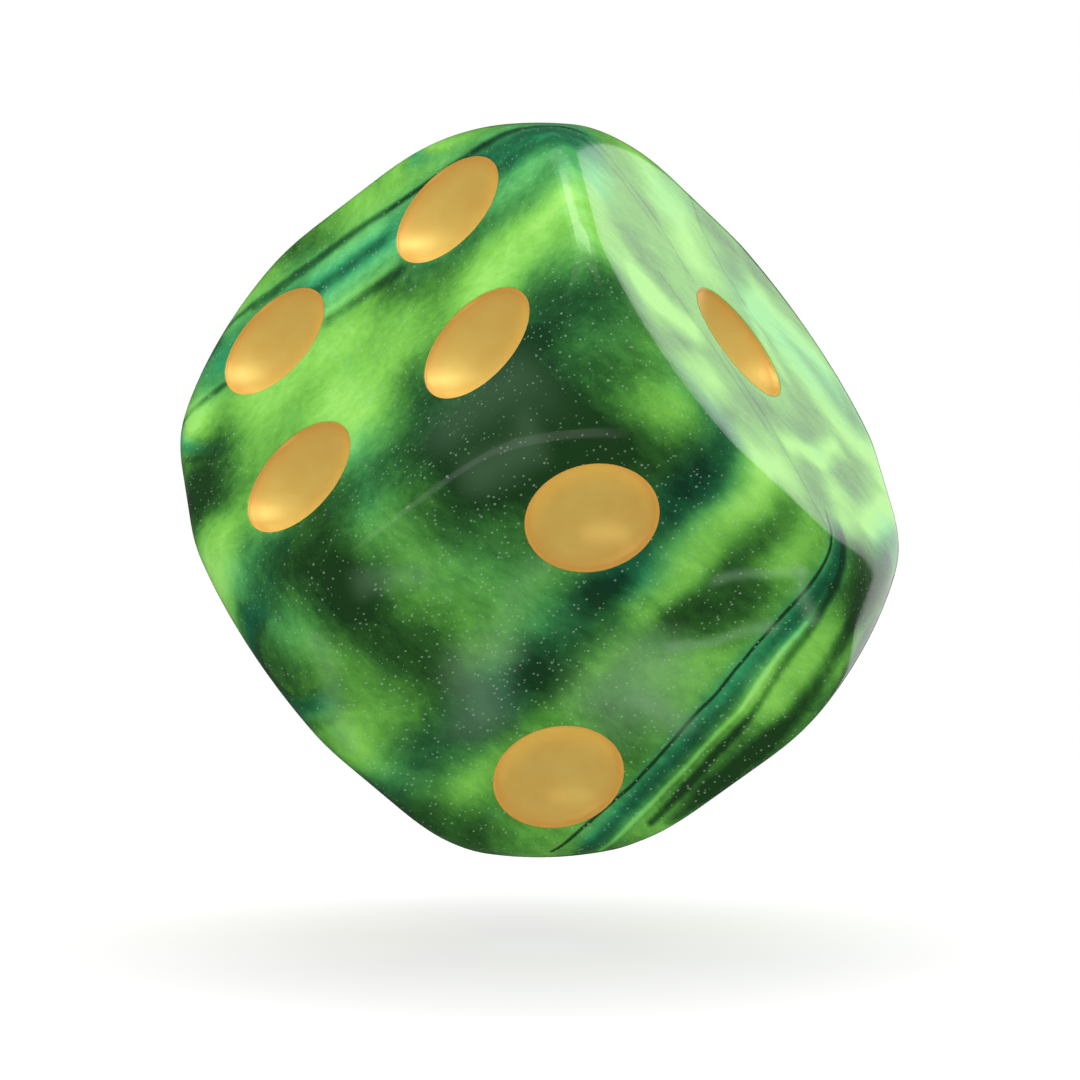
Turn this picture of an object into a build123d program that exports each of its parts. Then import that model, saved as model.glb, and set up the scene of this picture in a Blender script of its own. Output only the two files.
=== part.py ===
"""A 16 mm pipped six-sided die: one cast resin body and a separate enamel fill in each of its 21 pips.

Millimetres. The origin is the centre of the die, and the face planes lie at +-HALF on the three axes:
four on +Z, three on -Z, two on -Y, five on +Y, one on +X, six on -X. Opposite faces add up to seven,
and one, two and three run counter-clockwise round the corner they share.
"""

from build123d import *
import math
import os

# Body: a cube whose corners are turned back to a sphere, with every edge rounded.
SIDE = 16.0  # across any two opposite faces
CORNER_SPHERE_R = 0.711 * SIDE  # the sphere that cuts the corners, and just misses the middles of the edges
RIM_R = 0.110 * SIDE  # rounding where a face meets the sphere
EDGE_R = 0.049 * SIDE  # rounding where two faces meet

# Pips: shallow bowls, each lined with a coat of enamel.
PIP_R = 0.127 * SIDE  # radius of a bowl's mouth
SIX_PIP_R = 0.120 * SIDE  # the same on the six, where three bowls have to fit in a row
PIP_OFFSET = 0.219 * SIDE  # from a face's middle line to the pips beside it
SIX_SPACING = 0.268 * SIDE  # between the pips of a row of the six
PIP_DEPTH = 0.060 * SIDE  # from the face down to the enamel at the bottom of the bowl
LIP_DEPTH = 0.10  # straight wall between the face and the moulded bowl
ENAMEL = 0.12  # thickness of the coat at the bottom of the bowl
ENAMEL_RIM = 0.06  # width of the coat's edge at the mouth
ENAMEL_SINK = 0.02  # how far the coat's edge sits below the face

HALF = SIDE / 2

# Where the pips sit on a face, along its two in-plane directions.
CENTRE = [(0, 0)]
DIAGONAL = [(side * PIP_OFFSET, side * PIP_OFFSET) for side in (-1, 1)]
CORNERS = [(u * PIP_OFFSET, v * PIP_OFFSET) for v in (-1, 1) for u in (-1, 1)]
TWO_ROWS = [(step * SIX_SPACING, row * PIP_OFFSET) for row in (-1, 1) for step in (-1, 0, 1)]

# Each face: its name, the plane it lies in with its outward normal, its pips and their radius.
FACES = [
    ("one", Plane((HALF, 0, 0), x_dir=(0, 1, 0), z_dir=(1, 0, 0)), CENTRE, PIP_R),
    ("two", Plane((0, -HALF, 0), x_dir=(1, 0, 0), z_dir=(0, -1, 0)), DIAGONAL, PIP_R),
    ("three", Plane((0, 0, -HALF), x_dir=(0, 1, 0), z_dir=(0, 0, -1)), CENTRE + DIAGONAL, PIP_R),
    ("four", Plane((0, 0, HALF), x_dir=(1, 0, 0), z_dir=(0, 0, 1)), CORNERS, PIP_R),
    ("five", Plane((0, HALF, 0), x_dir=(-1, 0, 0), z_dir=(0, 1, 0)), CENTRE + CORNERS, PIP_R),
    ("six", Plane((-HALF, 0, 0), x_dir=(0, -1, 0), z_dir=(-1, 0, 0)), TWO_ROWS, SIX_PIP_R),
]


def turned(outline):
    """The solid that a closed half-profile, drawn on XZ, sweeps round the Z axis."""
    return revolve(Plane.XZ * make_face(outline), Axis.Z, 360)


def core_puck():
    """The part of the corner sphere between two opposite faces, with rounded rims, all EDGE_R under size."""
    face_z = HALF - EDGE_R
    ball_r = CORNER_SPHERE_R - EDGE_R
    rim_r = RIM_R - EDGE_R
    rim_z = face_z - rim_r
    flat_r = math.sqrt((ball_r - rim_r) ** 2 - rim_z**2)
    rim_start = math.degrees(math.atan2(rim_z, flat_r))
    axis_and_top = Polyline((0, -face_z), (0, face_z), (flat_r, face_z))
    upper_rim = CenterArc((flat_r, rim_z), rim_r, rim_start, 90 - rim_start)
    ball = CenterArc((0, 0), ball_r, -rim_start, 2 * rim_start)
    lower_rim = CenterArc((flat_r, -rim_z), rim_r, -90, 90 - rim_start)
    bottom = Line((0, -face_z), (flat_r, -face_z))
    return turned(axis_and_top + upper_rim + ball + lower_rim + bottom)


def rounded_cube():
    """The body before its pips: three pucks, square to each other, intersected and then grown by EDGE_R,
    so that the edges between two faces come out rounded as well."""
    puck = core_puck()
    core = puck & (Rot(90, 0, 0) * puck) & (Rot(0, 90, 0) * puck)
    return offset(core, amount=EDGE_R, kind=Kind.ARC)


def bowl(mouth_r, mouth_z, depth):
    """Half-profile of a bowl on the XZ plane: an arc from its bottom on the Z axis up to its mouth."""
    rise = mouth_z + depth
    bowl_r = (mouth_r**2 + rise**2) / (2 * rise)
    half_angle = math.degrees(math.asin(mouth_r / bowl_r))
    centre = (0, bowl_r - depth)
    return CenterArc(centre, bowl_r, -90, half_angle)


def pip_cutter(mouth_r):
    """The recess moulded in the body, with its mouth on Z = 0, and reaching above it for a clean cut."""
    above = 1.0
    depth = PIP_DEPTH + ENAMEL
    wall = bowl(mouth_r, -LIP_DEPTH, depth)
    up_the_side = Polyline((mouth_r, -LIP_DEPTH), (mouth_r, above), (0, above), (0, -depth))
    return turned(wall + up_the_side)


def pip_enamel(mouth_r):
    """The coat that lines a recess: a thin bowl that fits its wall and leaves the mouth open."""
    inner_mouth_r = mouth_r - ENAMEL_RIM
    outside = bowl(mouth_r, -LIP_DEPTH, PIP_DEPTH + ENAMEL)
    inside = bowl(inner_mouth_r, -ENAMEL_SINK, PIP_DEPTH)
    rim = Polyline((mouth_r, -LIP_DEPTH), (mouth_r, -ENAMEL_SINK), (inner_mouth_r, -ENAMEL_SINK))
    middle = Line((0, -PIP_DEPTH), (0, -PIP_DEPTH - ENAMEL))
    return turned(outside + rim + inside + middle)


def pip_places():
    """Every pip's name, radius and place, with Z out of the face: one_pip, two_pip_1, two_pip_2 and on."""
    places = []
    for face_name, plane, layout, mouth_r in FACES:
        for number, (u, v) in enumerate(layout, start=1):
            name = f"{face_name}_pip" if len(layout) == 1 else f"{face_name}_pip_{number}"
            places.append((name, mouth_r, plane.location * Pos(u, v, 0)))
    return places


def main():
    os.makedirs("parts", exist_ok=True)
    places = pip_places()
    cutters = {mouth_r: pip_cutter(mouth_r) for mouth_r in (PIP_R, SIX_PIP_R)}
    coats = {mouth_r: pip_enamel(mouth_r) for mouth_r in (PIP_R, SIX_PIP_R)}
    body = rounded_cube() - [place * cutters[mouth_r] for _, mouth_r, place in places]
    export_step(body, "parts/die_body.step")
    for name, mouth_r, place in places:
        export_step(place * coats[mouth_r], f"parts/{name}.step")


main()
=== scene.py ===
"""The look of the pipped die: polished marbled resin, with gold enamel in every pip.

Metres, in the CAD model's frame. Lengths written here in millimetres are for a die 16 mm across and are
multiplied by MM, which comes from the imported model's own size.
"""

import bmesh
import bpy
import math
import numpy as np
from mathutils import Matrix, Vector, noise
from mathutils.geometry import delaunay_2d_cdt


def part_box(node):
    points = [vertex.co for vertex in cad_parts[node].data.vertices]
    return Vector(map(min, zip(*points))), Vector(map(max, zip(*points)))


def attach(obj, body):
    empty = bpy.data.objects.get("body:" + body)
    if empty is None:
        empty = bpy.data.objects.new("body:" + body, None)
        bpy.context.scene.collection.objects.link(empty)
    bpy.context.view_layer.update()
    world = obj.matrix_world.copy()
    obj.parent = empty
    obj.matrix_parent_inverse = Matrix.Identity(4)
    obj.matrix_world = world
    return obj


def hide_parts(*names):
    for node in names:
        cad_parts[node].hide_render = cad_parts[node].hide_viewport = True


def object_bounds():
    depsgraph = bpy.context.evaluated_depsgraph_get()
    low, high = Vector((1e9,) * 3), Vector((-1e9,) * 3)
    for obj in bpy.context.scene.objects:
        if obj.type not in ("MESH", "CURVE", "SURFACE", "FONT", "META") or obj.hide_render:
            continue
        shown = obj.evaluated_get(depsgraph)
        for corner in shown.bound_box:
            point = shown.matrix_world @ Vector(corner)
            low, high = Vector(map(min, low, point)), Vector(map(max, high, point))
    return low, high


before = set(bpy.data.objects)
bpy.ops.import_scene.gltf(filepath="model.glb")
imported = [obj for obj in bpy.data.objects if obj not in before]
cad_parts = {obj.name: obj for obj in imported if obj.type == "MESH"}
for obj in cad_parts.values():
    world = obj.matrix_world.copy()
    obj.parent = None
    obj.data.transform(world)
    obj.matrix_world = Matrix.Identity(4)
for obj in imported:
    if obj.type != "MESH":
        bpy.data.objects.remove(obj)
cad_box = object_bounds()

# Sizes of the die.
SIDE = cad_box[1].z - cad_box[0].z
HALF = SIDE / 2
MM = SIDE / 16
CORNER_SPHERE_R = 0.711 * SIDE
RIM_R = 0.110 * SIDE  # rounding where a face meets the sphere
EDGE_R = 0.049 * SIDE  # rounding where two faces meet
COAT = 0.12 * MM  # enamel at the bottom of a pip
LIP_DEPTH = 0.10 * MM  # straight wall of a recess
RIM_SINK = 0.02 * MM  # from the face down to the enamel's edge

# Fineness of the meshes.
GRID_CELLS = 108  # along each side of a face
PIP_SEGMENTS = 96
BOWL_STEPS = 16

# Each face: its outward normal, then the directions u and v that its marbling is laid out along.
FACE_AXES = {
    "one": (Vector((1, 0, 0)), Vector((0, 1, 0)), Vector((0, 0, 1))),
    "two": (Vector((0, -1, 0)), Vector((1, 0, 0)), Vector((0, 0, 1))),
    "three": (Vector((0, 0, -1)), Vector((0, 1, 0)), Vector((1, 0, 0))),
    "four": (Vector((0, 0, 1)), Vector((1, 0, 0)), Vector((0, 1, 0))),
    "five": (Vector((0, 1, 0)), Vector((-1, 0, 0)), Vector((0, 0, 1))),
    "six": (Vector((-1, 0, 0)), Vector((0, -1, 0)), Vector((0, 0, 1))),
}
BODY_NODE = "die_body"
PIP_NODES = sorted(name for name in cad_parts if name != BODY_NODE)


# ---------------------------------------------------------------- camera, stage and lights

# The photograph's view: a long lens, turned on its side, from in front of the two and above.
CAMERA_AZIMUTH = 21.23
CAMERA_ELEVATION = 32.84
CAMERA_ROLL = -48.31
CAMERA_DISTANCE = 12.449 * SIDE
CAMERA_SHIFT = (0.0024 * SIDE, -0.0966 * SIDE)  # from the die's centre to the camera's aim, right and up
CAMERA_LENS = 214.1
CAMERA_SENSOR = 36.0

FLOOR_TILT = 4.5  # degrees that the camera looks down on the floor by
FLOOR_DROP = 0.885 * SIDE  # from the die's centre to the floor
FLOOR_SHADE = 0.515  # how much of the light on it the floor gives back
FLOOR_GLOW = 0.513  # its own brightness, next to a white of 1


def camera_axes():
    """The camera's right, up and backward directions."""
    azimuth = math.radians(CAMERA_AZIMUTH)
    elevation = math.radians(CAMERA_ELEVATION)
    roll = math.radians(CAMERA_ROLL)
    back = Vector(
        (
            math.sin(azimuth) * math.cos(elevation),
            -math.cos(azimuth) * math.cos(elevation),
            math.sin(elevation),
        )
    )
    level_right = Vector((math.cos(azimuth), math.sin(azimuth), 0))
    level_up = back.cross(level_right)
    right = level_right * math.cos(roll) + level_up * math.sin(roll)
    return right, back.cross(right), back


RIGHT, UP, BACK = camera_axes()


def towards(right, up, back):
    """A direction given by its parts along the camera's axes, as a unit vector of the frame."""
    return (RIGHT * right + UP * up + BACK * back).normalized()


def make_camera():
    data = bpy.data.cameras.new("photo_camera")
    data.lens = CAMERA_LENS
    data.sensor_width = CAMERA_SENSOR
    data.clip_start = SIDE
    data.clip_end = 100 * SIDE
    camera = bpy.data.objects.new("photo_camera", data)
    bpy.context.collection.objects.link(camera)
    axes = Matrix((RIGHT, UP, BACK)).transposed().to_4x4()
    aim_right, aim_up = CAMERA_SHIFT
    place = BACK * CAMERA_DISTANCE + RIGHT * aim_right + UP * aim_up
    camera.matrix_world = Matrix.Translation(place) @ axes
    bpy.context.scene.camera = camera


def make_softbox(name, direction, distance, width, height, radiance):
    """A rectangular studio light that faces the die, with its width as level as it can be in the picture.
    Distance and size are in die sides, and radiance is how bright its face is next to a white of 1."""
    data = bpy.data.lights.new(name, "AREA")
    data.shape = "RECTANGLE"
    data.size = width * SIDE
    data.size_y = height * SIDE
    data.energy = radiance * math.pi * data.size * data.size_y
    light = bpy.data.objects.new(name, data)
    bpy.context.collection.objects.link(light)
    rise = direction.cross(RIGHT).normalized()
    width_axis = rise.cross(direction)
    axes = Matrix((width_axis, rise, direction)).transposed().to_4x4()
    light.matrix_world = Matrix.Translation(direction * distance * SIDE) @ axes
    light.visible_camera = False
    return light


def make_lights():
    make_softbox("overhead", towards(0.03, 1.0, -0.12), 6, 3.6, 1.2, 2.8)
    make_softbox("overhead_glow", towards(0.03, 1.0, -0.12), 6.2, 6.5, 4.5, 0.55)
    make_softbox("backdrop", towards(0.60, 0.16, -0.79), 6, 2.9, 6.0, 0.95)
    make_softbox("front", towards(-0.10, -0.42, 0.90), 6, 6.0, 1.8, 0.8).visible_diffuse = False
    make_softbox("ceiling", towards(0.0, 1.0, 0.2), 6, 9.0, 9.0, 0.5).visible_glossy = False


def make_world():
    """White to the camera. Reflections see a dark studio, and the rest of the light is an even grey."""
    world = bpy.data.worlds.new("studio")
    bpy.context.scene.world = world
    world.use_nodes = True
    tree = world.node_tree
    tree.nodes.clear()
    rays = tree.nodes.new("ShaderNodeLightPath")
    seen = tree.nodes.new("ShaderNodeBackground")
    seen.inputs["Color"].default_value = (1, 1, 1, 1)
    mirrored = tree.nodes.new("ShaderNodeBackground")
    mirrored.inputs["Color"].default_value = (0.06, 0.06, 0.06, 1)
    fill = tree.nodes.new("ShaderNodeBackground")
    fill.inputs["Color"].default_value = (0.85, 0.85, 0.85, 1)
    gloss_or_fill = tree.nodes.new("ShaderNodeMixShader")
    tree.links.new(rays.outputs["Is Glossy Ray"], gloss_or_fill.inputs["Fac"])
    tree.links.new(fill.outputs[0], gloss_or_fill.inputs[1])
    tree.links.new(mirrored.outputs[0], gloss_or_fill.inputs[2])
    camera_or_rest = tree.nodes.new("ShaderNodeMixShader")
    tree.links.new(rays.outputs["Is Camera Ray"], camera_or_rest.inputs["Fac"])
    tree.links.new(gloss_or_fill.outputs[0], camera_or_rest.inputs[1])
    tree.links.new(seen.outputs[0], camera_or_rest.inputs[2])
    out = tree.nodes.new("ShaderNodeOutputWorld")
    tree.links.new(camera_or_rest.outputs[0], out.inputs["Surface"])


def make_floor():
    """A pale floor under the floating die, square to the photograph's own level. It glows a little, so that
    only the middle of the die's shadow shows, and it can't be seen from underneath."""
    tilt = math.radians(FLOOR_TILT)
    normal = (UP * math.cos(tilt) + BACK * math.sin(tilt)).normalized()
    forward = normal.cross(RIGHT)
    reach = 3 * SIDE
    corners = [RIGHT * a * reach + forward * b * reach for a, b in ((-1, -1), (1, -1), (1, 1), (-1, 1))]
    mesh = bpy.data.meshes.new("floor")
    mesh.from_pydata([c - normal * FLOOR_DROP for c in corners], [], [(0, 1, 2, 3)])
    mesh.materials.append(make_floor_material())
    floor = bpy.data.objects.new("floor", mesh)
    bpy.context.collection.objects.link(floor)
    floor.visible_glossy = False
    floor.visible_diffuse = False


def make_floor_material():
    material = bpy.data.materials.new("pale_floor")
    material.use_nodes = True
    nodes = material.node_tree.nodes
    links = material.node_tree.links
    shader = nodes["Principled BSDF"]
    shader.inputs["Base Color"].default_value = (FLOOR_SHADE, FLOOR_SHADE, FLOOR_SHADE, 1)
    shader.inputs["Roughness"].default_value = 1.0
    shader.inputs["Specular IOR Level"].default_value = 0.0
    shader.inputs["Emission Color"].default_value = (1, 1, 1, 1)
    shader.inputs["Emission Strength"].default_value = FLOOR_GLOW
    underside = nodes.new("ShaderNodeNewGeometry").outputs["Backfacing"]
    distance = nodes.new("ShaderNodeVectorMath")
    distance.operation = "LENGTH"
    links.new(nodes.new("ShaderNodeTexCoord").outputs["Object"], distance.inputs[0])
    fade = nodes.new("ShaderNodeMapRange")
    fade.interpolation_type = "SMOOTHSTEP"
    fade.inputs["From Min"].default_value = 1.5 * SIDE
    fade.inputs["From Max"].default_value = 2.9 * SIDE
    links.new(distance.outputs["Value"], fade.inputs["Value"])
    unseen = nodes.new("ShaderNodeMath")
    unseen.operation = "MAXIMUM"
    links.new(underside, unseen.inputs[0])
    links.new(fade.outputs["Result"], unseen.inputs[1])
    clear = nodes.new("ShaderNodeBsdfTransparent")
    one_sided = nodes.new("ShaderNodeMixShader")
    links.new(unseen.outputs["Value"], one_sided.inputs["Fac"])
    links.new(shader.outputs[0], one_sided.inputs[1])
    links.new(clear.outputs[0], one_sided.inputs[2])
    links.new(one_sided.outputs[0], nodes["Material Output"].inputs["Surface"])
    return material


# ---------------------------------------------------------------- meshes


def make_piece(name, points, faces, material):
    """A smooth-shaded mesh object of one material, riding on the die."""
    mesh = bpy.data.meshes.new(name)
    mesh.from_pydata(points, [], faces)
    mesh.materials.append(material)
    mesh.shade_smooth()
    mesh.update()
    piece = bpy.data.objects.new(name, mesh)
    bpy.context.collection.objects.link(piece)
    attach(piece, "root")
    return piece


def pip_place(node):
    """A pip's face name, the (u, v) of its centre on that face and its mouth's radius, from its CAD box."""
    low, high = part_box(node)
    centre = (low + high) / 2
    size = high - low
    for face_name, (normal, u_axis, v_axis) in FACE_AXES.items():
        if abs(size.dot(normal)) < 0.5 * max(size) and centre.dot(normal) > 0:
            return face_name, (centre.dot(u_axis), centre.dot(v_axis)), max(size) / 2
    raise ValueError(f"{node} lies on no face")


def pip_depth(node):
    """From the face down to the underside of a pip's enamel."""
    low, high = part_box(node)
    return min(high - low) + RIM_SINK


def bowl_profile(mouth_r, mouth_z, bottom_z, steps=BOWL_STEPS):
    """Points (r, z) of a spherical bowl, from its mouth down to its bottom on the axis."""
    rise = mouth_z - bottom_z
    bowl_r = (mouth_r**2 + rise**2) / (2 * rise)
    half_angle = math.asin(mouth_r / bowl_r)
    angles = [half_angle * (1 - step / steps) for step in range(steps + 1)]
    return [(bowl_r * math.sin(a), bottom_z + bowl_r * (1 - math.cos(a))) for a in angles]


def bend_profile(start, corner, end, steps=5):
    """Points (r, z) of a smooth bend from start to end that leans towards corner, both ends included."""
    points = []
    for step in range(steps + 1):
        t = step / steps
        points.append(
            tuple(
                (1 - t) ** 2 * a + 2 * t * (1 - t) * b + t**2 * c for a, b, c in zip(start, corner, end)
            )
        )
    return points


def lathe(profile, centre, u_axis, v_axis, normal):
    """Points and faces of a profile (r, z) turned about the normal through centre. A profile point on the
    axis closes the shape."""
    points = []
    rings = []
    faces = []
    for r, z in profile:
        if r < 1e-9:
            rings.append([len(points)])
            points.append(centre + normal * z)
            continue
        ring = []
        for segment in range(PIP_SEGMENTS):
            angle = 2 * math.pi * segment / PIP_SEGMENTS
            ring.append(len(points))
            points.append(centre + u_axis * r * math.cos(angle) + v_axis * r * math.sin(angle) + normal * z)
        rings.append(ring)
    for upper, lower in zip(rings, rings[1:]):
        for k in range(PIP_SEGMENTS):
            after = (k + 1) % PIP_SEGMENTS
            if len(upper) == 1:
                faces.append((upper[0], lower[k], lower[after]))
            elif len(lower) == 1:
                faces.append((upper[k], lower[0], upper[after]))
            else:
                faces.append((upper[k], lower[k], lower[after], upper[after]))
    return points, faces


def enamel_mesh(node):
    """The enamel of a pip: a thin bowl with a steep rounded rim, closed underneath."""
    face_name, (u, v), mouth_r = pip_place(node)
    normal, u_axis, v_axis = FACE_AXES[face_name]
    under = pip_depth(node)
    floor_z = COAT - under
    bowl = bowl_profile(mouth_r, 0, floor_z)
    wall_r = mouth_r - 0.14 * MM
    bowl = [(r, z) for r, z in bowl if r < wall_r]
    edge = (mouth_r - 0.025 * MM, -RIM_SINK)
    rim = [(mouth_r, -LIP_DEPTH), (mouth_r, -RIM_SINK)]
    wall = bend_profile(edge, (mouth_r - 0.04 * MM, -0.12 * MM), bowl[0], steps=6)
    underside = bowl_profile(mouth_r, -LIP_DEPTH, -under)
    profile = list(reversed(underside))[:-1] + rim + wall + bowl[1:]
    centre = normal * HALF + u_axis * u + v_axis * v
    points, faces = lathe(profile, centre, u_axis, v_axis, normal)
    return points, faces


def into_puck(points, axis):
    """Points moved the least way into a puck of the body's core: the sphere cut off flat at the two faces
    that the axis crosses, with rounded rims, and all EDGE_R under size."""
    face_z = HALF - EDGE_R
    ball_r = CORNER_SPHERE_R - EDGE_R
    rim_r = RIM_R - EDGE_R
    rim_z = face_z - rim_r
    flat_r = math.sqrt((ball_r - rim_r) ** 2 - rim_z**2)
    height = np.abs(points[:, axis])
    outward = points.copy()
    outward[:, axis] = 0
    radius = np.maximum(np.linalg.norm(outward, axis=1), 1e-12)
    to_rim = np.maximum(np.hypot(radius - flat_r, height - rim_z), 1e-12)
    onto_rim = np.minimum(1, rim_r / to_rim)
    onto_ball = np.minimum(1, ball_r / np.hypot(radius, height))
    on_face = radius <= flat_r
    on_ball = ~on_face & (height * flat_r <= radius * rim_z)
    new_radius = np.where(on_ball, radius * onto_ball, flat_r + (radius - flat_r) * onto_rim)
    new_radius = np.where(on_face, radius, new_radius)
    new_height = np.where(on_ball, height * onto_ball, rim_z + (height - rim_z) * onto_rim)
    new_height = np.where(on_face, np.minimum(height, face_z), new_height)
    moved = outward * (new_radius / radius)[:, None]
    moved[:, axis] = np.sign(points[:, axis]) * new_height
    return moved


def to_core(points, rounds=12):
    """The nearest points of the body's core, which is three pucks intersected, by Dykstra's method."""
    nearest = points
    corrections = [np.zeros_like(points) for _ in range(3)]
    for _ in range(rounds):
        for axis in range(3):
            tried = nearest + corrections[axis]
            nearest = into_puck(tried, axis)
            corrections[axis] = tried - nearest
    return nearest


def onto_body(points):
    """Points of the cube's faces moved towards its centre, onto the rounded body, by Newton's method."""
    scale = np.ones(len(points))
    for _ in range(7):
        tried = points * scale[:, None]
        away = tried - to_core(tried)
        distance = np.linalg.norm(away, axis=1)
        slope = np.sum(away * points, axis=1) / distance
        scale -= (distance - EDGE_R) / slope
    return points * scale[:, None]


def face_sheet(pips):
    """Points (u, v) and triangles of one side of the cube, with a round hole at each pip (u, v, radius)."""
    cell = SIDE / GRID_CELLS
    margins = (0.05 * MM, 0.11 * MM)
    points = []
    edges = []
    for u, v, mouth_r in pips:
        first = len(points)
        for r in (mouth_r, *(mouth_r + margin for margin in margins)):
            for segment in range(PIP_SEGMENTS):
                angle = 2 * math.pi * segment / PIP_SEGMENTS
                points.append((u + r * math.cos(angle), v + r * math.sin(angle)))
        edges += [(first + k, first + (k + 1) % PIP_SEGMENTS) for k in range(PIP_SEGMENTS)]
    for row in range(GRID_CELLS + 1):
        for column in range(GRID_CELLS + 1):
            u, v = column * cell - HALF, row * cell - HALF
            clear = margins[-1] + 0.5 * cell
            if all(math.hypot(u - pu, v - pv) > mouth_r + clear for pu, pv, mouth_r in pips):
                points.append((u, v))
    made, _, triangles, _, _, _ = delaunay_2d_cdt([Vector(p) for p in points], edges, [], 0, 1e-9)
    kept = []
    for triangle in triangles:
        middle = sum((made[k] for k in triangle), Vector((0, 0))) / 3
        if all(math.hypot(middle.x - u, middle.y - v) > 0.999 * mouth_r for u, v, mouth_r in pips):
            kept.append(tuple(triangle))
    return [(p.x, p.y) for p in made], kept


def recess_profile(mouth_r, depth):
    """Points (r, z) of a pip's recess in the resin, with its lip just broken."""
    lip = 0.02 * MM
    wall = [(mouth_r, 0), (mouth_r - lip / 2, -lip), (mouth_r, -LIP_DEPTH)]
    return wall + bowl_profile(mouth_r, -LIP_DEPTH, -depth)[1:]


def body_mesh():
    """The resin body as one closed mesh: six sides drawn in onto the rounded shape, and the recesses."""
    points = []
    faces = []
    pips = [(node, *pip_place(node)) for node in PIP_NODES]
    for face_name, (normal, u_axis, v_axis) in FACE_AXES.items():
        own = [(u, v, mouth_r) for _, name, (u, v), mouth_r in pips if name == face_name]
        flat_points, triangles = face_sheet(own)
        flip = u_axis.cross(v_axis).dot(normal) < 0
        first = len(points)
        cube_points = [normal * HALF + u_axis * u + v_axis * v for u, v in flat_points]
        points += [Vector(p) for p in onto_body(np.array([tuple(p) for p in cube_points]))]
        for a, b, c in triangles:
            faces.append((first + a, first + c, first + b) if flip else (first + a, first + b, first + c))
    for node, face_name, (u, v), mouth_r in pips:
        normal, u_axis, v_axis = FACE_AXES[face_name]
        centre = normal * HALF + u_axis * u + v_axis * v
        profile = recess_profile(mouth_r, pip_depth(node))
        ring_points, ring_faces = lathe(profile, centre, u_axis, v_axis, normal)
        first = len(points)
        points += ring_points
        faces += [tuple(first + k for k in face) for face in ring_faces]
    return points, faces


def close_seams(piece):
    """Joins the points that neighbouring parts of a mesh share, and turns every face outwards."""
    edit = bmesh.new()
    edit.from_mesh(piece.data)
    bmesh.ops.remove_doubles(edit, verts=edit.verts, dist=0.008 * MM)
    bmesh.ops.recalc_face_normals(edit, faces=edit.faces)
    open_edges = sum(1 for edge in edit.edges if not edge.is_manifold)
    edit.to_mesh(piece.data)
    edit.free()
    print(piece.name, "faces", len(piece.data.polygons), "open edges", open_edges)


# ---------------------------------------------------------------- materials


class Paint:
    """A material built from shader nodes. Every method adds a node and returns its output socket."""

    def __init__(self, name):
        self.material = bpy.data.materials.new(name)
        self.material.use_nodes = True
        self.tree = self.material.node_tree
        self.tree.nodes.clear()

    def node(self, kind, settings=None, **inputs):
        made = self.tree.nodes.new(kind)
        for setting, value in (settings or {}).items():
            setattr(made, setting, value)
        for name, value in inputs.items():
            self.feed(made.inputs[name.replace("_", " ")], value)
        return made

    def feed(self, socket, value):
        """Links an output socket into this input, or sets the input to a plain value."""
        if isinstance(value, bpy.types.NodeSocket):
            self.tree.links.new(value, socket)
        else:
            socket.default_value = value

    def math(self, operation, *values, clamp=False):
        made = self.node("ShaderNodeMath", {"operation": operation, "use_clamp": clamp})
        for socket, value in zip(made.inputs, values):
            self.feed(socket, value)
        return made.outputs[0]

    def vector(self, operation, *values):
        made = self.node("ShaderNodeVectorMath", {"operation": operation})
        for socket, value in zip(made.inputs, values):
            self.feed(socket, value)
        scalar = operation in ("DOT_PRODUCT", "LENGTH", "DISTANCE")
        return made.outputs["Value" if scalar else "Vector"]

    def scaled(self, vector, factor):
        made = self.node("ShaderNodeVectorMath", {"operation": "SCALE"}, Scale=factor)
        self.feed(made.inputs[0], vector)
        return made.outputs["Vector"]

    def after(self, value, vector):
        """The same vector, but worked out only once the value is: it is moved by next to nothing."""
        return self.vector("ADD", vector, self.math("MULTIPLY", value, WAIT))

    def ease(self, value, start, end, start_value=0.0, end_value=1.0):
        """A smooth step from start_value to end_value as the value goes from start to end."""
        made = self.node("ShaderNodeMapRange", {"interpolation_type": "SMOOTHSTEP"}, Value=value)
        self.feed(made.inputs["From Min"], start)
        self.feed(made.inputs["From Max"], end)
        self.feed(made.inputs["To Min"], start_value)
        self.feed(made.inputs["To Max"], end_value)
        return made.outputs[0]

    def noise(self, vector, scale, detail=2.0, roughness=0.5, output="Fac"):
        made = self.node("ShaderNodeTexNoise", Vector=vector, Scale=scale, Detail=detail, Roughness=roughness)
        return made.outputs[output]

    def layer(self, name):
        """A value stored on the mesh's points."""
        return self.node("ShaderNodeAttribute", {"attribute_name": name}).outputs["Fac"]

    def colours(self, value, stops):
        """A colour ramp through stops of (position, (r, g, b))."""
        made = self.node("ShaderNodeValToRGB", Fac=value)
        elements = made.color_ramp.elements
        while len(elements) < len(stops):
            elements.new(1.0)
        for element, (position, colour) in zip(elements, stops):
            element.position = position
            element.color = (*colour, 1)
        return made.outputs["Color"]

    def mix(self, factor, first, second, blend="MIX"):
        made = self.node("ShaderNodeMix", {"data_type": "RGBA", "blend_type": blend})
        self.feed(made.inputs[0], factor)
        self.feed(made.inputs[6], first)
        self.feed(made.inputs[7], second)
        return made.outputs[2]

    def surface(self, **inputs):
        """The finished surface. Input names are the Principled shader's, with _ for each space."""
        shader = self.node("ShaderNodeBsdfPrincipled", None, **inputs)
        out = self.node("ShaderNodeOutputMaterial")
        self.tree.links.new(shader.outputs[0], out.inputs["Surface"])
        return self.material


WAIT = 1e-9


def bump(paint, height, distance, strength=1.0):
    made = paint.node("ShaderNodeBump", None, Height=height, Distance=distance, Strength=strength)
    return made.outputs[0]


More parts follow.
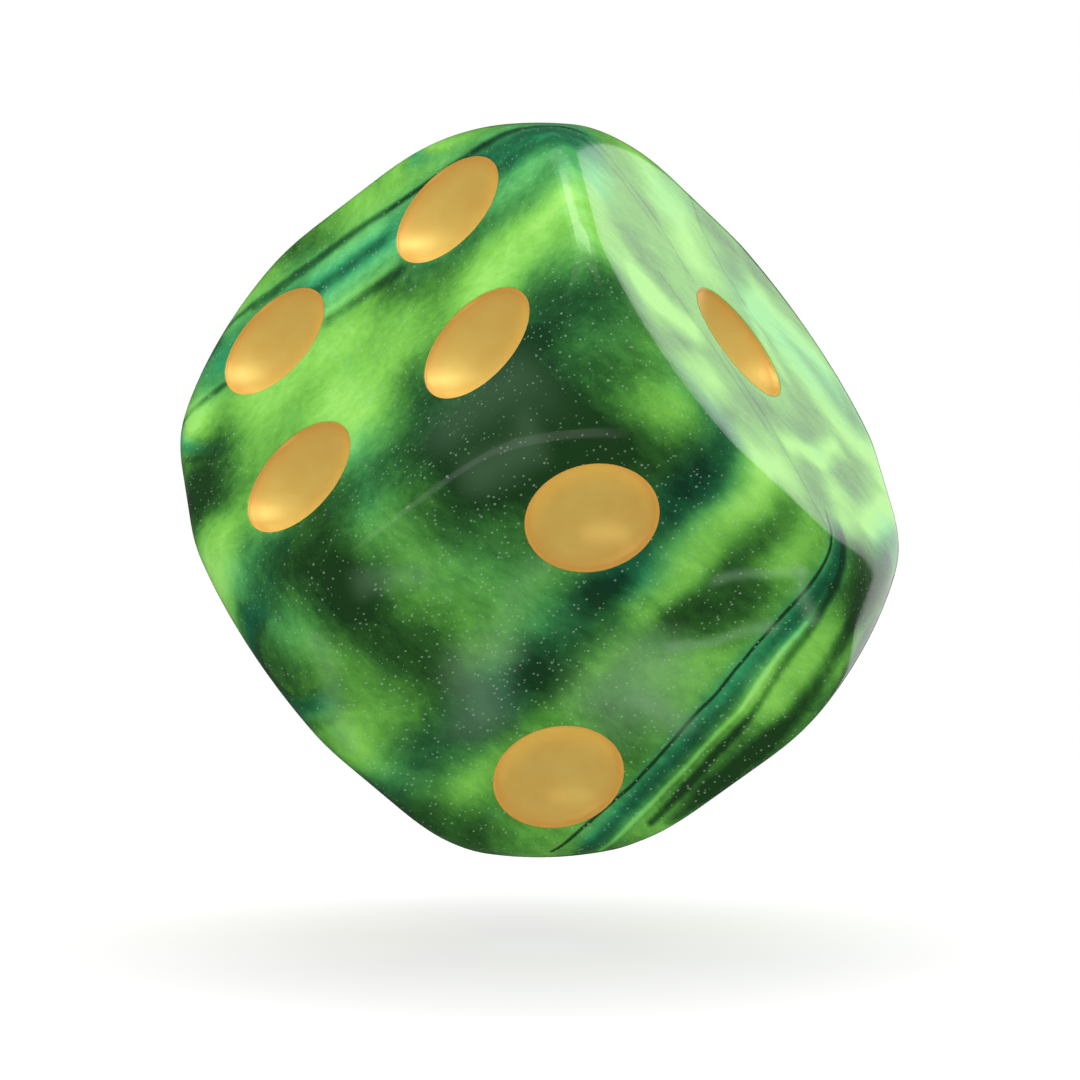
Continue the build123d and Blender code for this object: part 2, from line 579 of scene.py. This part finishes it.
# The marbling, laid out on the three faces that the photograph shows: strokes
# (u, v, end u, end v, radius, strength) in millimetres from the middle of each face. A stroke whose two
# ends are the same is a round cloud. A positive strength is lighter resin and a negative one darker.
# The round strokes that cover the whole of the two and the whole of the one are not marbling: the first is
# painted shade that darkens the two, the second is painted light that lightens the one.
CLOUDS_AND_FACE_SHADING = {
    "four": [
        (-3.6, 1.3, -1.4, 1.3, 1.3, 0.30),
        (-6.9, 1.6, -6.9, 2.4, 0.8, 0.22),
        (-6.2, 0.6, -6.2, -1.4, 1.0, -0.34),
        (-1.4, -1.8, -0.8, -3.2, 1.2, 0.36),
        (4.0, -0.9, 6.8, 0.1, 1.5, 0.36),
        (0.9, -0.2, 0.9, -1.4, 0.9, 0.14),
        (2.2, -0.2, 2.6, -1.2, 0.9, -0.16),
        (1.4, 1.8, 3.0, 1.0, 0.9, -0.26),
        (4.6, 1.3, 7.0, 1.1, 0.8, -0.30),
        (5.6, 2.3, 6.6, 2.3, 0.6, 0.16),
        (0.9, 7.0, 4.0, 6.8, 0.9, 0.14),
        (-2.4, 6.6, -0.6, 6.5, 0.6, -0.14),
        (6.0, -4.9, 7.4, -3.4, 1.7, -0.50),
        (1.2, -5.4, 4.0, -6.6, 1.8, -0.42),
        (1.2, -3.6, 2.2, -3.8, 1.0, -0.18),
        (-3.8, -6.6, -2.4, -6.2, 1.3, -0.40),
        (-5.6, -5.6, -6.6, -6.4, 1.0, -0.20),
        (-6.7, -4.0, -6.4, -3.0, 0.9, 0.16),
        (-1.4, -4.4, -1.3, -7.2, 0.7, 0.12),
        (5.0, -7.2, 7.0, -6.4, 0.9, 0.22),
    ],
    "two": [
        # Painted shade: the whole two is made darker.
        (0.0, 0.0, 0.0, 0.0, 9.0, -0.14),
        (-1.2, 7.0, -1.0, 2.0, 1.2, 0.06),
        (-3.5, 6.0, -3.5, 2.0, 1.0, -0.34),
        (-3.0, 7.3, -3.0, 7.0, 0.9, -0.24),
        (-6.9, 4.6, -6.8, 4.1, 1.1, -0.28),
        (-5.4, 6.0, -6.4, 2.4, 0.7, 0.08),
        (1.6, 7.0, 4.6, 6.2, 1.5, -0.38),
        (5.6, 5.6, 6.4, 3.0, 1.3, -0.42),
        (2.2, 5.4, 1.4, 4.6, 1.0, -0.14),
        (5.9, 7.0, 7.7, 4.4, 0.6, 0.34),
        (7.6, 7.2, 8.0, 6.4, 1.0, -0.34),
        (-8.0, -0.6, -5.0, 0.2, 1.0, -0.30),
        (-3.0, 0.0, -1.6, -0.2, 1.0, -0.34),
        (-1.0, 0.1, 2.0, 0.8, 0.8, -0.26),
        (2.0, 0.9, 8.0, 2.2, 0.7, -0.22),
        (-2.4, -1.2, 1.0, -0.9, 0.6, 0.06),
        (2.4, -0.1, 8.0, 1.0, 0.6, 0.34),
        (3.2, -1.3, 4.4, -2.0, 1.0, -0.38),
        (5.6, -0.6, 7.2, -0.9, 0.8, -0.26),
        (6.6, -1.9, 7.4, -1.6, 0.6, 0.24),
        (1.4, -3.2, 2.8, -3.2, 0.9, 0.12),
        (-5.8, -1.4, -4.8, -1.1, 0.7, 0.26),
        (-7.2, -1.8, -6.8, -3.0, 1.0, -0.22),
        (-1.4, -4.0, -0.6, -3.0, 0.9, -0.16),
        (3.2, -5.7, 5.4, -5.0, 0.8, 0.30),
        (-1.2, -7.2, 0.6, -6.9, 0.6, 0.10),
    ],
    "one": [
        # Painted light: the whole one is made a little lighter.
        (0.0, 0.0, 0.0, 0.0, 9.0, 0.05),
        (-2.3, 7.6, -2.3, 5.0, 1.0, 0.46),
        (-2.3, 5.0, -2.4, 2.6, 0.65, 0.44),
        (-5.2, 3.6, -4.4, 2.6, 0.7, 0.30),
        (-6.8, 1.0, -5.9, -0.4, 0.9, 0.44),
        (-3.9, -1.4, -2.6, -3.4, 0.42, 0.48),
        (-2.6, -3.4, -0.8, -4.7, 0.38, 0.44),
        (-6.0, -3.6, -3.4, -4.2, 0.5, 0.26),
        (-4.4, -5.3, -2.4, -6.8, 0.55, 0.48),
        (3.4, 1.5, 6.6, 1.9, 1.1, 0.38),
        (4.8, 3.0, 7.0, 3.6, 0.7, 0.26),
        (1.2, 7.2, 2.8, 6.2, 0.6, 0.24),
        (0.8, -2.4, 2.6, -1.4, 0.4, 0.24),
        (3.4, -1.8, 1.6, -4.6, 0.7, 0.42),
        (4.8, -2.6, 3.8, -5.2, 0.8, 0.40),
        (0.6, -5.6, 1.6, -7.0, 0.6, 0.30),
        (-4.8, 5.2, -3.9, 4.0, 0.7, -0.12),
        (0.4, 5.8, -0.6, 3.2, 0.7, -0.14),
        (1.2, 4.6, 3.0, 3.4, 0.9, -0.09),
        (4.8, 5.4, 5.6, 4.4, 0.7, -0.09),
        (-5.6, 2.0, -2.8, -0.6, 0.5, -0.14),
        (-3.6, 3.4, -2.9, 2.0, 0.4, -0.16),
        (4.4, -0.7, 6.4, -0.9, 0.6, -0.15),
        (-6.2, -2.3, -4.0, -2.6, 0.7, -0.13),
        (-1.4, -2.8, 0.8, -3.8, 0.7, -0.13),
        (-2.4, -5.0, -0.6, -5.9, 0.6, -0.15),
        (5.4, -3.2, 6.6, -2.4, 0.6, -0.14),
        (-7.0, -5.0, -6.4, -6.4, 1.2, -0.55),
    ],
}

# Strokes of teal in the same form, where the strength is how far the green turns.
TEAL_CLOUDS = {
    "four": [
        (-5.4, 4.5, 7.8, 4.1, 1.3, 1.0),
        (2.4, 2.0, 7.4, 1.6, 0.9, 0.5),
        (-1.3, -4.6, -1.3, -7.0, 0.9, 0.5),
        (-6.4, -5.6, -5.0, -5.4, 0.9, 0.5),
        (2.0, -5.6, 6.6, -4.6, 2.0, 0.45),
    ],
    "two": [
        (-8.0, -0.2, -3.0, 0.4, 0.9, 0.55),
        (-3.0, 0.4, 3.0, 1.2, 0.9, 0.55),
        (3.0, 1.2, 8.0, 2.5, 0.8, 0.65),
        (-6.8, 7.4, -6.0, 6.8, 1.2, 0.5),
        (-4.4, -6.3, 8.0, -3.2, 0.45, 1.0),
        (5.4, 2.6, 6.6, 2.2, 0.8, 0.4),
        (0.2, 4.6, 0.4, 2.4, 1.4, 0.30),
    ],
    "one": [
        (3.4, -1.8, 3.0, -6.0, 1.4, 0.55),
        (-5.6, -5.8, -3.4, -7.0, 0.6, 0.8),
        (5.0, 6.4, 2.0, 6.8, 0.8, 0.4),
        (-6.6, 2.6, -6.0, 4.4, 0.7, 0.35),
        (5.0, 2.6, 6.8, 1.4, 0.9, 0.25),
    ],
}

# Fine threads on the faces' own surface: (radius, strength, line), where the line goes through points (u, v).
THREADS = {
    "four": [
        (0.13, -0.36, [(-6.4, 6.1), (-2.0, 5.9), (1.2, 5.7), (4.4, 5.2), (7.8, 4.9)]),
        (0.12, -0.26, [(-4.0, 5.75), (1.2, 5.55), (6.4, 5.2)]),
        (0.40, 0.20, [(-1.6, 5.1), (0.8, 5.1)]),
        (0.28, -0.24, [(-1.6, 4.35), (1.0, 4.4)]),
        (0.32, 0.20, [(-1.4, 3.6), (4.0, 3.5)]),
        (0.20, 0.20, [(-1.4, 3.0), (1.2, 2.9)]),
        (0.16, -0.40, [(-7.8, 3.2), (-5.4, 3.2)]),
        (0.24, -0.28, [(-1.4, 2.5), (1.4, 2.3)]),
        (0.50, -0.30, [(5.0, 4.6), (8.0, 4.3)]),
        (0.35, -0.26, [(5.0, 3.6), (8.0, 3.3)]),
        (0.35, -0.26, [(-8.0, 5.0), (-5.6, 5.6)]),
    ],
    "two": [
        (0.05, -0.55, [(-5.6, -5.75), (-2.2, -5.35), (2.6, -4.25), (8.0, -2.70)]),
        (0.22, -0.24, [(-5.0, -6.5), (2.0, -5.00), (8.0, -3.10)]),
        (0.08, 0.30, [(-4.6, -6.9), (2.0, -5.45), (5.6, -4.20)]),
        (0.13, -0.40, [(-2.6, -7.0), (2.2, -5.85), (5.4, -4.55), (8.0, -3.35)]),
        (0.28, -0.34, [(-2.0, -7.5), (3.0, -6.85), (6.4, -5.60)]),
    ],
    "one": [
        (0.08, -0.16, [(4.85, 7.0), (4.7, 6.0), (4.2, 4.8), (3.2, 3.4), (1.5, 2.2)]),
        (0.08, -0.12, [(4.2, 6.6), (3.7, 5.0), (2.5, 3.3)]),
        (0.09, -0.14, [(-0.4, 4.0), (-2.0, 1.9), (-4.2, -0.3)]),
        (0.08, -0.14, [(-1.8, 1.3), (-3.6, -0.5), (-5.4, -1.6), (-7.4, -2.6)]),
        (0.08, -0.15, [(7.4, 0.6), (5.6, 0.4), (4.1, -0.3), (3.0, -1.2), (1.9, -2.4)]),
    ],
}

# Pale streaks in the resin's colour, in the same form.
PALE_STREAKS = {
    "two": [
        (2.2, -2.2, 4.8, -3.6, 0.20, 0.32),
        (4.4, -0.9, 6.8, -2.6, 0.22, 0.28),
        (6.8, -2.6, 5.6, -4.3, 0.16, 0.30),
        (0.0, -2.6, 1.0, -2.4, 1.30, 0.34),
        (0.3, -3.2, 0.2, -4.6, 0.40, 0.20),
        (-2.4, 1.8, -3.6, 0.4, 0.90, 0.26),
        (-2.8, 6.6, -1.6, 5.6, 0.40, 0.16),
        (2.0, 7.0, 3.6, 6.8, 0.50, 0.14),
        (-5.2, 5.6, -7.0, 2.2, 0.35, 0.16),
        (1.4, 3.4, -1.4, 1.4, 0.60, 0.12),
    ],
    "four": [
        (2.4, -6.2, 4.4, -6.4, 1.00, 0.10),
    ],
}

# Colours of the resin from its darkest to its lightest, and of the teal in it.
LEAF_GREENS = [
    (0.00, (0.011, 0.052, 0.010)),
    (0.20, (0.028, 0.125, 0.020)),
    (0.40, (0.076, 0.285, 0.038)),
    (0.60, (0.160, 0.490, 0.066)),
    (0.80, (0.250, 0.670, 0.096)),
    (1.00, (0.370, 0.850, 0.160)),
]
TEAL_GREENS = [
    (0.00, (0.004, 0.042, 0.018)),
    (0.30, (0.011, 0.138, 0.054)),
    (0.60, (0.036, 0.345, 0.130)),
    (1.00, (0.150, 0.740, 0.280)),
]


def smooth_step(values, start, end):
    part = np.clip((values - start) / (end - start), 0, 1)
    return part * part * (3 - 2 * part)


def cloud_cover(points, clouds_by_face, keep_depth):
    """What the soft strokes add up to at each point, in millimetres. Distance into the body counts
    keep_depth as much as distance along a face, and a stroke reaches only a few millimetres in."""
    total = np.zeros(len(points))
    for face_name, clouds in clouds_by_face.items():
        normal, u_axis, v_axis = (np.array(axis) for axis in FACE_AXES[face_name])
        near = smooth_step(points @ normal, 4.5, 7.0)
        local = (points - 8 * normal) * (1 - (1 - keep_depth) * np.abs(normal))
        for u, v, end_u, end_v, radius, strength in clouds:
            start = u_axis * u + v_axis * v
            along = u_axis * end_u + v_axis * end_v - start
            offset = local - start
            part = np.clip(offset @ along / max(along @ along, 1e-9), 0, 1)
            distance = np.linalg.norm(offset - part[:, None] * along, axis=1)
            total += near * strength * (1 - smooth_step(distance, 0, 2 * radius))
    return total


def hidden_marbling(points, drift):
    """Clouds and teal ribbons, from noise, for the three faces that the photograph doesn't show."""
    hidden = smooth_step(np.max(points * (-1, 1, -1), axis=1), 5.5, 7.5)
    swirled = (points + 0.9 * drift) * (1.0, 1.0, 0.7)
    clouds = np.array([noise.noise(Vector(p) * 0.30) for p in swirled])
    ribbons = np.abs([noise.noise(Vector(p) * 0.13 + Vector((5.2, 1.3, 7.7))) for p in swirled])
    ribbon = 1 - smooth_step(ribbons, 0.010, 0.075)
    edges = smooth_step(ribbons, 0.035, 0.06) * (1 - smooth_step(ribbons, 0.06, 0.10))
    tone = 0.85 * clouds - 0.06 - 0.16 * ribbon - 0.16 * edges
    return hidden * tone, hidden * 0.85 * ribbon


MARBLING_SEED = 1  # any fixed number but 0, which would take the seed from the clock


def lay_clouds(piece):
    """Stores the marbling's soft part on the piece's points, with the painted shade on the two and the painted
    light on the one, for its material to read.
    """
    noise.seed_set(MARBLING_SEED)
    points = np.array([tuple(vertex.co) for vertex in piece.data.vertices]) / MM
    drift = np.array([tuple(noise.turbulence_vector(Vector(p) * 0.35, 2, False)) for p in points])
    curdled = points + 0.55 * drift
    nudged = points + 0.15 * drift
    hidden_tone, hidden_teal = hidden_marbling(points, drift)
    for name, cover in (
        ("tone", cloud_cover(curdled, CLOUDS_AND_FACE_SHADING, 0.5) + hidden_tone),
        ("teal", cloud_cover(nudged, TEAL_CLOUDS, 0.3) + hidden_teal),
        ("haze", cloud_cover(curdled, PALE_STREAKS, 0.3)),
    ):
        layer = piece.data.attributes.new(name, "FLOAT", "POINT")
        layer.data.foreach_set("value", cover.astype(np.float32))


def thread(paint, point, line, radius, strength):
    """How much a thread adds at a point: its strength on the line, fading outwards."""
    distance = None
    for start, end in zip(line, line[1:]):
        along = end - start
        offset = paint.vector("SUBTRACT", point, start)
        part = paint.vector("DOT_PRODUCT", offset, along / along.length_squared)
        part = paint.math("ADD", part, 0.0, clamp=True)
        to_run = paint.vector("DISTANCE", offset, paint.scaled(tuple(along), part))
        distance = to_run if distance is None else paint.math("MINIMUM", distance, to_run)
    return paint.ease(distance, 0.0, 2 * radius, strength, 0.0)


def all_threads(paint, point, total):
    """The total with every thread added. Cycles can hold only a few unfinished values, so it is made to
    take the threads in turn."""
    for face_name, threads in THREADS.items():
        normal, u_axis, v_axis = FACE_AXES[face_name]
        point = paint.after(total, point)
        near = paint.ease(paint.vector("DOT_PRODUCT", point, tuple(normal)), 5.5, 7.0)
        local = paint.vector("MULTIPLY", point, tuple(1 - abs(part) for part in normal))
        subtotal = 0.0
        for radius, strength, line in threads:
            corners = [u_axis * u + v_axis * v for u, v in line]
            subtotal = paint.math("ADD", subtotal, thread(paint, local, corners, radius, strength))
            local = paint.after(subtotal, local)
        total = paint.math("MULTIPLY_ADD", subtotal, near, total)
    return total


def make_resin():
    """Polished resin, marbled from listed strokes on the faces the photograph shows and by the same noise all
    over.
    """
    paint = Paint("marbled_resin")
    place = paint.node("ShaderNodeTexCoord").outputs["Object"]
    point = paint.scaled(place, 1 / MM)

    drift = paint.noise(point, 0.35, 2.0, 0.5, "Color")
    drift = paint.vector("SUBTRACT", drift, (0.5, 0.5, 0.5))
    curdled = paint.vector("ADD", point, paint.scaled(drift, 1.6))
    nudged = paint.vector("ADD", point, paint.scaled(drift, 0.3))

    # Cloudy noise, drawn out along Z.
    stretched = paint.vector("MULTIPLY", curdled, (1.0, 1.0, 0.5))
    broad = paint.noise(stretched, 0.42, 2.0, 0.45)
    fine = paint.noise(stretched, 1.3, 3.0, 0.55)
    grain = paint.noise(point, 12.0, 2.0, 0.7)
    tone = paint.math("MULTIPLY_ADD", broad, 0.34, 0.40)
    tone = paint.math("MULTIPLY_ADD", fine, 0.20, tone)
    tone = paint.math("SUBTRACT", tone, 0.10)
    mottle = paint.noise(stretched, 3.0, 4.0, 0.6)
    tone = paint.math("MULTIPLY_ADD", mottle, 0.34, tone)
    tone = paint.math("SUBTRACT", tone, 0.17)
    tone = paint.math("MULTIPLY_ADD", grain, 0.16, tone)
    tone = paint.math("SUBTRACT", tone, 0.08)
    # The stored tone holds the marbling, and also the painted shade on the two and the painted light on the
    # one.
    tone = paint.math("ADD", tone, paint.layer("tone"))
    tone = all_threads(paint, nudged, tone)

    hue = paint.noise(paint.after(tone, stretched), 0.55, 2.0, 0.5)
    teal = paint.ease(hue, 0.58, 0.80, 0.0, 0.35)
    teal = paint.math("ADD", teal, paint.layer("teal"), clamp=True)
    colour = paint.mix(teal, paint.colours(tone, LEAF_GREENS), paint.colours(tone, TEAL_GREENS))
    colour = paint.mix(paint.layer("haze"), colour, (0.30, 0.52, 0.30, 1))

    # Tiny bubbles: pale specks of many sizes.
    cells = paint.node("ShaderNodeTexVoronoi", {"feature": "F1"}, Vector=point, Scale=6.5)
    speck_size = paint.math("MULTIPLY", cells.outputs["Color"], 0.30)
    speck = paint.math("LESS_THAN", cells.outputs["Distance"], speck_size)
    speck = paint.math("MULTIPLY", speck, paint.math("MULTIPLY", cells.outputs["Color"], 0.36))
    colour = paint.mix(speck, colour, (0.45, 0.66, 0.45, 1))

    smear = paint.noise(point, 0.8, 3.0, 0.6)
    gloss = paint.ease(smear, 0.35, 0.75, 0.10, 0.17)
    ripple = bump(paint, paint.noise(point, 0.6, 1.0, 0.4), 0.0015 * MM, 0.4)
    return paint.surface(Base_Color=colour, Roughness=gloss, IOR=1.5, Normal=ripple)


def make_enamel():
    """Satin gold enamel: fine metal flake in a clear binder, paler in the hollow and painted more orange at its
    rim, where the orange is a painted reflection.
    """
    paint = Paint("gold_enamel")
    place = paint.node("ShaderNodeTexCoord").outputs["Object"]
    point = paint.scaled(place, 1 / MM)
    parts = paint.node("ShaderNodeSeparateXYZ", Vector=paint.vector("ABSOLUTE", point)).outputs
    height = paint.math("MAXIMUM", paint.math("MAXIMUM", parts[0], parts[1]), parts[2])
    cloud = paint.noise(point, 0.9, 3.0, 0.55)
    flake = paint.noise(point, 14.0, 2.0, 0.7)
    colour = paint.colours(cloud, [(0.30, (0.97, 0.62, 0.125)), (0.70, (1.00, 0.71, 0.155))])
    colour = paint.mix(paint.ease(flake, 0.35, 0.75, 0.0, 0.14), colour, (1.00, 0.74, 0.30, 1))
    # Painted reflection: the gold turns more orange towards the rim of each pip.
    colour = paint.mix(paint.ease(height, 7.55, 7.95, 0.0, 0.75), colour, (0.97, 0.51, 0.095, 1))
    satin = paint.ease(cloud, 0.3, 0.7, 0.32, 0.40)
    texture = bump(paint, flake, 0.002 * MM, 0.5)
    return paint.surface(Base_Color=colour, Metallic=0.35, Roughness=satin, IOR=1.5, Normal=texture)


# ---------------------------------------------------------------- the model


def make_die():
    resin = make_resin()
    enamel = make_enamel()
    body = make_piece("resin_body", *body_mesh(), resin)
    close_seams(body)
    lay_clouds(body)
    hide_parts(BODY_NODE)
    for node in PIP_NODES:
        piece = make_piece(f"enamel_{node}", *enamel_mesh(node), enamel)
        close_seams(piece)
        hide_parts(node)


bpy.context.scene.view_settings.view_transform = "Standard"
make_world()
make_camera()
make_floor()
make_lights()
make_die()
